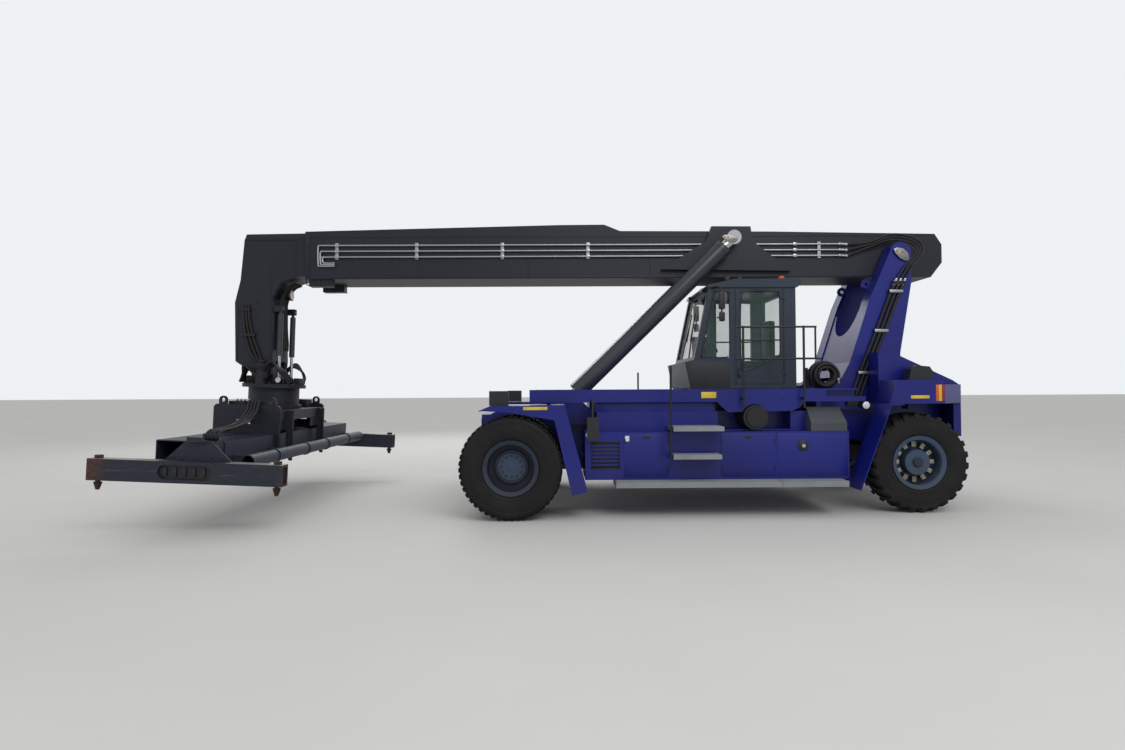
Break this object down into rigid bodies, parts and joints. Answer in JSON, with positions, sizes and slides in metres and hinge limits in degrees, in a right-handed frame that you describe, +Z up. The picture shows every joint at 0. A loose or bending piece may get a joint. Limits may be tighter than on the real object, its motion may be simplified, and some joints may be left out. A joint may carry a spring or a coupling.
{
  "type": "reach stacker",
  "caption": "Container reach stacker with a telescoping boom, gooseneck, rotator and extendable top spreader, central cab, twin front wheels and rear steering",
  "frame": {"origin": "on the ground, below the middle of the bounding box", "axes": "+X forward toward the spreader, +Y to the machine's left, +Z up"},
  "size_m": [12.269, 6.033, 4.5449],
  "materials": {
    "body_blue": "satin",
    "boom_navy": "satin",
    "chassis_dark": "satin",
    "cab_paint": "satin",
    "cylinder_paint": "satin",
    "rim_dark": "satin",
    "rim_light": "satin",
    "cover_grey": "satin",
    "galvanised": "matt",
    "chrome_rod": "polished",
    "pipe_steel": "satin",
    "rail_black": "satin",
    "spreader_worn": "worn",
    "lock_steel": "rough",
    "engine_iron": "rough",
    "lamp_plastic": "gloss",
    "mirror_shell": "matt",
    "hose_rubber": "matt",
    "tyre_rubber": "matt",
    "cab_glass": "clear",
    "seat_fabric": "woven",
    "console_plastic": "matt"
  },
  "bodies": {
    "chassis": {"chassis_frame": "body_blue", "deck": "body_blue", "side_tanks": "body_blue", "battery_boxes": "cover_grey", "air_filters": "rail_black", "steps": "galvanised", "front_fenders": "body_blue", "counterweight": "body_blue", "engine_block": "engine_iron", "tower_posts": "body_blue", "handrails": "rail_black", "lamps": "lamp_plastic", "mirrors": "mirror_shell", "rear_hoses": "hose_rubber", "hose_coil": "hose_rubber", "drive_axle": "chassis_dark", "steer_axle": "chassis_dark", "cab_shell": "cab_paint", "cab_roof": "cab_paint", "cab_glass": "cab_glass", "seat": "seat_fabric", "console": "console_plastic"},
    "hood": {"engine_hood": "body_blue"},
    "door": {"cab_door": "cab_paint", "door_glass": "cab_glass"},
    "wheel_front_left": {"front_tyres_left": "tyre_rubber", "front_rims_left": "rim_dark"},
    "wheel_front_right": {"front_tyres_right": "tyre_rubber", "front_rims_right": "rim_dark"},
    "knuckle_left": {"knuckle_left": "chassis_dark"},
    "knuckle_right": {"knuckle_right": "chassis_dark"},
    "wheel_rear_left": {"rear_tyre_left": "tyre_rubber", "rear_rim_left": "rim_light"},
    "wheel_rear_right": {"rear_tyre_right": "tyre_rubber", "rear_rim_right": "rim_light"},
    "lift_barrel_left": {"lift_barrel_left": "cylinder_paint"},
    "lift_barrel_right": {"lift_barrel_right": "cylinder_paint"},
    "lift_rod_left": {"lift_rod_left": "chrome_rod"},
    "lift_rod_right": {"lift_rod_right": "chrome_rod"},
    "boom": {"boom_outer": "boom_navy", "boom_pipes": "pipe_steel"},
    "boom_inner": {"boom_inner": "boom_navy"},
    "damper_barrels": {"damper_barrels": "cylinder_paint"},
    "damper_rods": {"damper_rods": "chrome_rod"},
    "tilt_head": {"tilt_head": "boom_navy"},
    "rotator": {"rotator": "boom_navy", "shift_frame": "boom_navy"},
    "spreader": {"spreader_main": "spreader_worn"},
    "beam_left": {"spreader_beam_left": "spreader_worn"},
    "beam_right": {"spreader_beam_right": "spreader_worn"},
    "twistlock_left_front": {"twistlock_left_front": "lock_steel"},
    "twistlock_left_rear": {"twistlock_left_rear": "lock_steel"},
    "twistlock_right_front": {"twistlock_right_front": "lock_steel"},
    "twistlock_right_rear": {"twistlock_right_rear": "lock_steel"}
  },
  "joints": [
    {"name": "wheel_front_left", "type": "hinge", "parent": "chassis", "child": "wheel_front_left", "pos_m": [0.88048, 1.825, 0.735], "axis": [0, 1, 0], "continuous": true},
    {"name": "wheel_front_right", "type": "hinge", "parent": "chassis", "child": "wheel_front_right", "pos_m": [0.88048, -1.825, 0.735], "axis": [0, 1, 0], "continuous": true},
    {"name": "steer_left", "type": "hinge", "parent": "chassis", "child": "knuckle_left", "pos_m": [-5.10452, 1.08, 0.735], "axis": [0, 0, 1], "range_deg": [-40, 40]},
    {"name": "steer_right", "type": "hinge", "parent": "chassis", "child": "knuckle_right", "pos_m": [-5.10452, -1.08, 0.735], "axis": [0, 0, 1], "range_deg": [-40, 40]},
    {"name": "wheel_rear_left", "type": "hinge", "parent": "knuckle_left", "child": "wheel_rear_left", "pos_m": [-5.10452, 1.4, 0.735], "axis": [0, 1, 0], "continuous": true},
    {"name": "wheel_rear_right", "type": "hinge", "parent": "knuckle_right", "child": "wheel_rear_right", "pos_m": [-5.10452, -1.4, 0.735], "axis": [0, 1, 0], "continuous": true},
    {"name": "cab_door", "type": "hinge", "parent": "chassis", "child": "door", "pos_m": [-3.38152, 0.862, 2.633], "axis": [0, 0, 1], "range_deg": [0, 85]},
    {"name": "engine_hood", "type": "hinge", "parent": "chassis", "child": "hood", "pos_m": [-4.29953, 0, 1.938], "axis": [0, -1, 0], "range_deg": [0, 60]},
    {"name": "boom_lift", "type": "hinge", "parent": "chassis", "child": "boom", "pos_m": [-5.29052, 0, 4.004], "axis": [0, -1, 0], "range_deg": [0, 60]},
    {"name": "lift_barrel_left", "type": "hinge", "parent": "chassis", "child": "lift_barrel_left", "pos_m": [0.00347, 0.69, 1.703], "axis": [0, -1, 0], "range_deg": [-4.75, 0.5]},
    {"name": "lift_rod_left", "type": "slide", "parent": "lift_barrel_left", "child": "lift_rod_left", "axis": [-0.7164, 0, 0.6977], "range_m": [0, 2.654]},
    {"name": "lift_barrel_right", "type": "hinge", "parent": "chassis", "child": "lift_barrel_right", "pos_m": [0.00347, -0.69, 1.703], "axis": [0, -1, 0], "range_deg": [-4.75, 0.5]},
    {"name": "lift_rod_right", "type": "slide", "parent": "lift_barrel_right", "child": "lift_rod_right", "axis": [-0.7164, 0, 0.6977], "range_m": [0, 2.654]},
    {"name": "boom_extend", "type": "slide", "parent": "boom", "child": "boom_inner", "axis": [1, 0, 0], "range_m": [0, 6.5]},
    {"name": "spreader_tilt", "type": "hinge", "parent": "boom_inner", "child": "tilt_head", "pos_m": [5.08047, 0, 2.18], "axis": [0, 1, 0], "range_deg": [-4, 62.5]},
    {"name": "damper_barrels", "type": "hinge", "parent": "boom_inner", "child": "damper_barrels", "pos_m": [4.80047, 0, 3.2], "axis": [0, -1, 0], "range_deg": [-0.65, 0.51]},
    {"name": "damper_rods", "type": "slide", "parent": "damper_barrels", "child": "damper_rods", "axis": [0.0311, 0, -0.9995], "range_m": [-0.307, 0.024]},
    {"name": "spreader_rotate", "type": "hinge", "parent": "tilt_head", "child": "rotator", "pos_m": [5.01713, 0, 1.79687], "axis": [-0.0436, 0, 0.999], "range_deg": [-105, 195]},
    {"name": "side_shift", "type": "slide", "parent": "rotator", "child": "spreader", "axis": [0, -1, 0], "range_m": [-0.8, 0.8]},
    {"name": "beam_left", "type": "slide", "parent": "spreader", "child": "beam_left", "axis": [0, 1, 0], "range_m": [0, 3.05]},
    {"name": "beam_right", "type": "slide", "parent": "spreader", "child": "beam_right", "axis": [0, -1, 0], "range_m": [0, 3.05]},
    {"name": "twistlock_left_front", "type": "hinge", "parent": "beam_left", "child": "twistlock_left_front", "pos_m": [6.03912, 2.9265, 0.73044], "axis": [-0.0436, 0, 0.999], "range_deg": [0, 90]},
    {"name": "twistlock_left_rear", "type": "hinge", "parent": "beam_left", "child": "twistlock_left_rear", "pos_m": [3.78227, 2.9265, 0.6319], "axis": [-0.0436, 0, 0.999], "range_deg": [0, 90]},
    {"name": "twistlock_right_front", "type": "hinge", "parent": "beam_right", "child": "twistlock_right_front", "pos_m": [6.03912, -2.9265, 0.73044], "axis": [-0.0436, 0, 0.999], "range_deg": [0, 90]},
    {"name": "twistlock_right_rear", "type": "hinge", "parent": "beam_right", "child": "twistlock_right_rear", "pos_m": [3.78227, -2.9265, 0.6319], "axis": [-0.0436, 0, 0.999], "range_deg": [0, 90]}
  ],
  "couplings": [
    {"joint": "steer_right", "follows": "steer_left", "ratio": 1},
    {"joint": "lift_barrel_left", "follows": "boom_lift", "ratio": -0.070778},
    {"joint": "lift_rod_left", "follows": "boom_lift", "m_per_rad": 2.5297},
    {"joint": "lift_barrel_right", "follows": "boom_lift", "ratio": -0.070778},
    {"joint": "lift_rod_right", "follows": "boom_lift", "m_per_rad": 2.5297},
    {"joint": "damper_barrels", "follows": "spreader_tilt", "ratio": -0.002366},
    {"joint": "damper_rods", "follows": "spreader_tilt", "m_per_rad": -0.2773},
    {"joint": "beam_right", "follows": "beam_left", "ratio": 1},
    {"joint": "twistlock_left_rear", "follows": "twistlock_left_front", "ratio": 1},
    {"joint": "twistlock_right_front", "follows": "twistlock_left_front", "ratio": 1},
    {"joint": "twistlock_right_rear", "follows": "twistlock_left_front", "ratio": 1}
  ]
}
